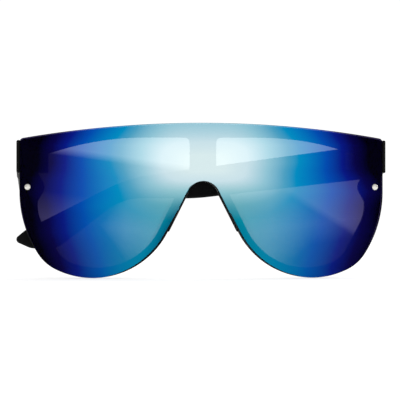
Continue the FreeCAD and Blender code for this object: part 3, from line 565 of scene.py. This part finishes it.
def turned_metal(name, dark, light, rough, grain, height, stretch=(1, 1, 1)):
    """Metal with fine tool marks in its gloss and relief."""
    material, tree, shader = new_material(name)
    colour = blend_colours(tree, object_noise(tree, METAL_DRIFT), dark, light)
    tree.links.new(colour, shader.inputs["Base Color"])
    marks = object_noise(tree, grain, GRAIN_DETAIL, stretch)
    set_roughness(tree, shader, marks, *rough)
    add_bump(tree, shader, marks, height, MARK_STRENGTH)
    shader.inputs["Metallic"].default_value = 1.0
    return material


satin_black = moulded_plastic("satin_black", dark=(0.0018, 0.0018, 0.002), light=(0.003, 0.003, 0.0033),
                              rough=(0.36, 0.46), grain=5200, height=0.00003)
pad_rubber = moulded_plastic("pad_rubber", dark=(0.010, 0.010, 0.010), light=(0.015, 0.015, 0.016),
                             rough=(0.68, 0.82), grain=3600, height=0.00004)
bush_plastic = moulded_plastic("bush_plastic", dark=(0.02, 0.02, 0.02), light=(0.03, 0.03, 0.03),
                               rough=(0.45, 0.55), grain=6000, height=0.00002)
polished_steel = turned_metal("polished_steel", dark=(0.70, 0.68, 0.63), light=(0.80, 0.78, 0.73),
                              rough=(0.08, 0.18), grain=3000, height=0.000005)
hinge_nickel = turned_metal("hinge_nickel", dark=(0.52, 0.50, 0.46), light=(0.62, 0.60, 0.56),
                            rough=(0.24, 0.38), grain=1500, height=0.00001, stretch=(1, 1, 8))

# The longest key that starts a node's name gives its finish. The plain CAD lens is replaced below.
FINISHES = {
    "front_frame": satin_black,
    "temple_": satin_black,
    "temple_hinge": hinge_nickel,
    "front_hinge": hinge_nickel,
    "hinge_screw": hinge_nickel,
    "lens_screw": polished_steel,
    "cap_nut": polished_steel,
    "lens_bush": bush_plastic,
    "nut_washer": bush_plastic,
    "nose_pad": pad_rubber,
    "lens": satin_black,
}
for name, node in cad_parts.items():
    finish = max((key for key in FINISHES if name.startswith(key)), key=len)
    node.data.materials.clear()
    node.data.materials.append(FINISHES[finish])

lens = build_lens()
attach(lens, "front")
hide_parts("lens")

# Studio: white behind the object and behind the camera, dimmer to the sides; levels from back to front
GLOW_LEVELS = ((0.0, 1.05), (0.3, 1.0), (0.45, 0.7), (0.7, 0.6), (0.85, 1.0))
world = bpy.data.worlds.new("studio")
bpy.context.scene.world = world
world.use_nodes = True
sky = world.node_tree
direction = add(sky, "ShaderNodeTexCoord")
split = add(sky, "ShaderNodeSeparateXYZ")
sky.links.new(direction.outputs["Generated"], split.inputs["Vector"])
to_the_front = run_between(sky, split.outputs["Y"], 1.0, -1.0)
glow = colour_steps(sky, to_the_front, [(place, grey(level)) for place, level in GLOW_LEVELS])
sky.links.new(glow, sky.nodes["Background"].inputs["Color"])
LIGHT_AIM = Vector((0, 0.05, 0))


def soft_light(name, place, size, power):
    """A round soft light that shines on the middle of the object."""
    data = bpy.data.lights.new(name, "AREA")
    data.shape = "DISK"
    data.size = size
    data.energy = power
    light = bpy.data.objects.new(name, data)
    light.location = place
    light.rotation_euler = (LIGHT_AIM - Vector(place)).to_track_quat("-Z", "Y").to_euler()
    bpy.context.scene.collection.objects.link(light)


soft_light("top_light", place=(0.25, 0.45, 0.7), size=0.5, power=2.0)
soft_light("side_light", place=(0.7, 0.35, 0.35), size=0.35, power=1.5)

# Floor just under the lobes of the lens; its own glow keeps it white
FLOOR_SIZE = 6
FLOOR_GAP = 0.0002
FLOOR_GLOW = 0.68
bpy.ops.mesh.primitive_plane_add(size=FLOOR_SIZE, location=(0, 0, cad_box[0][2] - FLOOR_GAP))
floor = bpy.context.object
floor.name = "floor"
floor_material, floor_tree, floor_shader = new_material("floor_white")
floor_shade = blend_colours(floor_tree, object_noise(floor_tree, 3), grey(0.45), grey(0.46))
floor_tree.links.new(floor_shade, floor_shader.inputs["Base Color"])
floor_shader.inputs["Roughness"].default_value = 0.9
floor_shader.inputs["Specular IOR Level"].default_value = 0.0
floor_shader.inputs["Emission Color"].default_value = (*WHITE, 1)
floor_shader.inputs["Emission Strength"].default_value = FLOOR_GLOW
floor.data.materials.append(floor_material)

# Camera: straight on, a little to the wearer's right
CAMERA_TURN = math.radians(-3.5)
CAMERA_DISTANCE = 0.9
VIEW_WIDTH = 0.156
SENSOR_WIDTH = 36
CLIP_START = 0.01
AIM = Vector((-0.0010, 0, -0.0074))
camera_data = bpy.data.cameras.new("camera")
camera_data.sensor_width = SENSOR_WIDTH
camera_data.lens = SENSOR_WIDTH * CAMERA_DISTANCE / VIEW_WIDTH
camera_data.clip_start = CLIP_START
camera = bpy.data.objects.new("camera", camera_data)
camera.location = AIM + Vector((math.sin(CAMERA_TURN), -math.cos(CAMERA_TURN), 0)) * CAMERA_DISTANCE
camera.rotation_euler = (AIM - camera.location).to_track_quat("-Z", "Y").to_euler()
bpy.context.scene.collection.objects.link(camera)
bpy.context.scene.camera = camera
bpy.context.scene.view_settings.view_transform = "Standard"
